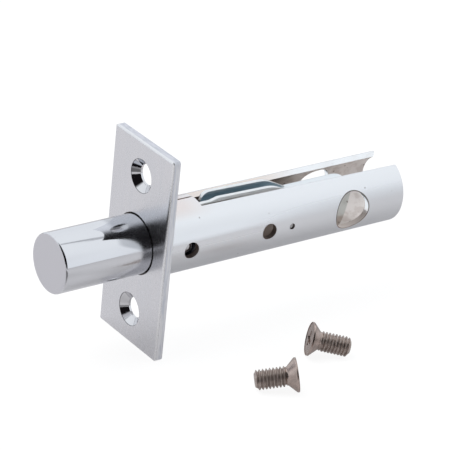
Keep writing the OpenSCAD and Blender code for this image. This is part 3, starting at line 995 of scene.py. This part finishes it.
class BOLT_OT_detent(Operator):
    """Make the detent's two polished balls and the coiled spring between them"""

    bl_idname = "bolt.detent"
    bl_label = "Detent"

    def execute(self, context):
        sizes, finish = context.scene.bolt_sizes, context.scene.bolt_finishes
        polished = small_metal("Ball steel", finish.ball, (0.62, 0.62, 0.63), 0.03,
                               0.12, 500.0, 0.0005)
        for node, body in (
            ("detent_ball_near", "near_ball"), ("detent_ball_far", "far_ball")
        ):
            low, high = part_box(node)
            bm = bmesh.new()
            bmesh.ops.create_icosphere(bm, subdivisions=5, radius=(high.x - low.x) / 2,
                                       matrix=Matrix.Translation((low + high) / 2))
            piece(bm, node.replace("detent_", "polished_"), body, [node],
                  polished)
        self.spring(sizes, finish)
        return {"FINISHED"}

    def spring(self, sizes, finish):
        low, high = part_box("detent_spring")
        middle = (low + high) / 2
        wire, coil = sizes.wire_d / 2, sizes.spring_d / 2
        steps = 28 * sizes.spring_turns
        rise = (high.y - low.y - 2 * wire) / steps
        bm = bmesh.new()
        bmesh.ops.create_circle(
            bm, segments=12, radius=wire, cap_ends=False,
            matrix=Matrix.Translation((coil, 0, 0)),
        )
        bmesh.ops.spin(
            bm, geom=bm.verts[:] + bm.edges[:], cent=(0, 0, 0), axis=(0, 1, 0),
            dvec=(0, rise, 0), angle=2 * math.pi * sizes.spring_turns, steps=steps,
            use_merge=False,
        )
        bmesh.ops.holes_fill(bm, edges=[e for e in bm.edges if e.is_boundary], sides=0)
        bmesh.ops.recalc_face_normals(bm, faces=bm.faces)
        bmesh.ops.translate(bm, vec=(middle.x, low.y + wire, middle.z), verts=bm.verts)
        material = small_metal("Spring wire", finish.steel, (0.45, 0.45, 0.46), 0.15,
                               0.35, 900.0)
        piece(bm, "coiled_spring", "bolt", ["detent_spring"], material)


class BOLT_OT_stop_pin(Operator):
    """Finish the travel stop pin in the barrel's wall in plain steel"""

    bl_idname = "bolt.stop_pin"
    bl_label = "Travel stop pin"

    def execute(self, context):
        repaint("travel_stop_pin", pin_steel(context.scene))
        return {"FINISHED"}


class BOLT_OT_screws(Operator):
    """Make the two loose fixing screws with a true helical thread"""

    bl_idname = "bolt.screws"
    bl_label = "Fixing screws"

    def execute(self, context):
        sizes, finish = context.scene.bolt_sizes, context.scene.bolt_finishes
        material = small_metal("Nickel plate", finish.nickel, (0.44, 0.37, 0.335), 0.28,
                               0.48, 900.0, 0.010, 0.75)
        bright = small_metal("Bright nickel", finish.nickel_bright, (0.49, 0.41, 0.37),
                             0.16, 0.34, 800.0, 0.006, 0.9)
        tilt = math.atan((sizes.screw_head_d - sizes.screw_d) / 2
                         / (sizes.screw_len - sizes.screw_tip - 0.4 * sizes.screw_pitch
                            - sizes.screw_rim))
        height = (FLOOR_Z + sizes.screw_head_d / 2 * math.cos(tilt)
                  + sizes.screw_rim * math.sin(tilt))
        for node, x, side, turn in LOOSE_SCREWS:
            bm = screw_mesh(sizes)
            bmesh.ops.transform(
                bm, verts=bm.verts,
                matrix=lying(x * MM, side * MM, height, tilt, math.radians(turn)),
            )
            piece(bm, node.replace("fixing_", "loose_"), "housing", [node],
                  material, 28.0, bright)
        return {"FINISHED"}


STEPS = (
    BOLT_OT_studio, BOLT_OT_faceplate, BOLT_OT_barrel, BOLT_OT_rod, BOLT_OT_tail,
    BOLT_OT_rivets, BOLT_OT_detent, BOLT_OT_stop_pin, BOLT_OT_screws,
)


class BOLT_PT_sidebar(Panel):
    """Lists the steps that dress the door bolt"""

    bl_idname = "BOLT_PT_sidebar"
    bl_label = "Door bolt"
    bl_space_type = "VIEW_3D"
    bl_region_type = "UI"
    bl_category = "Door bolt"

    def draw(self, context):
        column = self.layout.column(align=True)
        for step in STEPS:
            column.operator(step.bl_idname)


CLASSES = (BoltSizes, BoltFinishes, BoltStudio, *STEPS, BOLT_PT_sidebar)


def register():
    for cls in CLASSES:
        bpy.utils.register_class(cls)
    bpy.types.Scene.bolt_sizes = bpy.props.PointerProperty(type=BoltSizes)
    bpy.types.Scene.bolt_finishes = bpy.props.PointerProperty(type=BoltFinishes)
    bpy.types.Scene.bolt_studio = bpy.props.PointerProperty(type=BoltStudio)


def unregister():
    del bpy.types.Scene.bolt_studio
    del bpy.types.Scene.bolt_finishes
    del bpy.types.Scene.bolt_sizes
    for cls in reversed(CLASSES):
        bpy.utils.unregister_class(cls)


def main():
    register()
    bpy.ops.bolt.studio()
    bpy.ops.bolt.faceplate()
    bpy.ops.bolt.barrel()
    bpy.ops.bolt.rod()
    bpy.ops.bolt.tail()
    bpy.ops.bolt.rivets()
    bpy.ops.bolt.detent()
    bpy.ops.bolt.stop_pin()
    bpy.ops.bolt.screws()


if __name__ == "__main__":
    main()
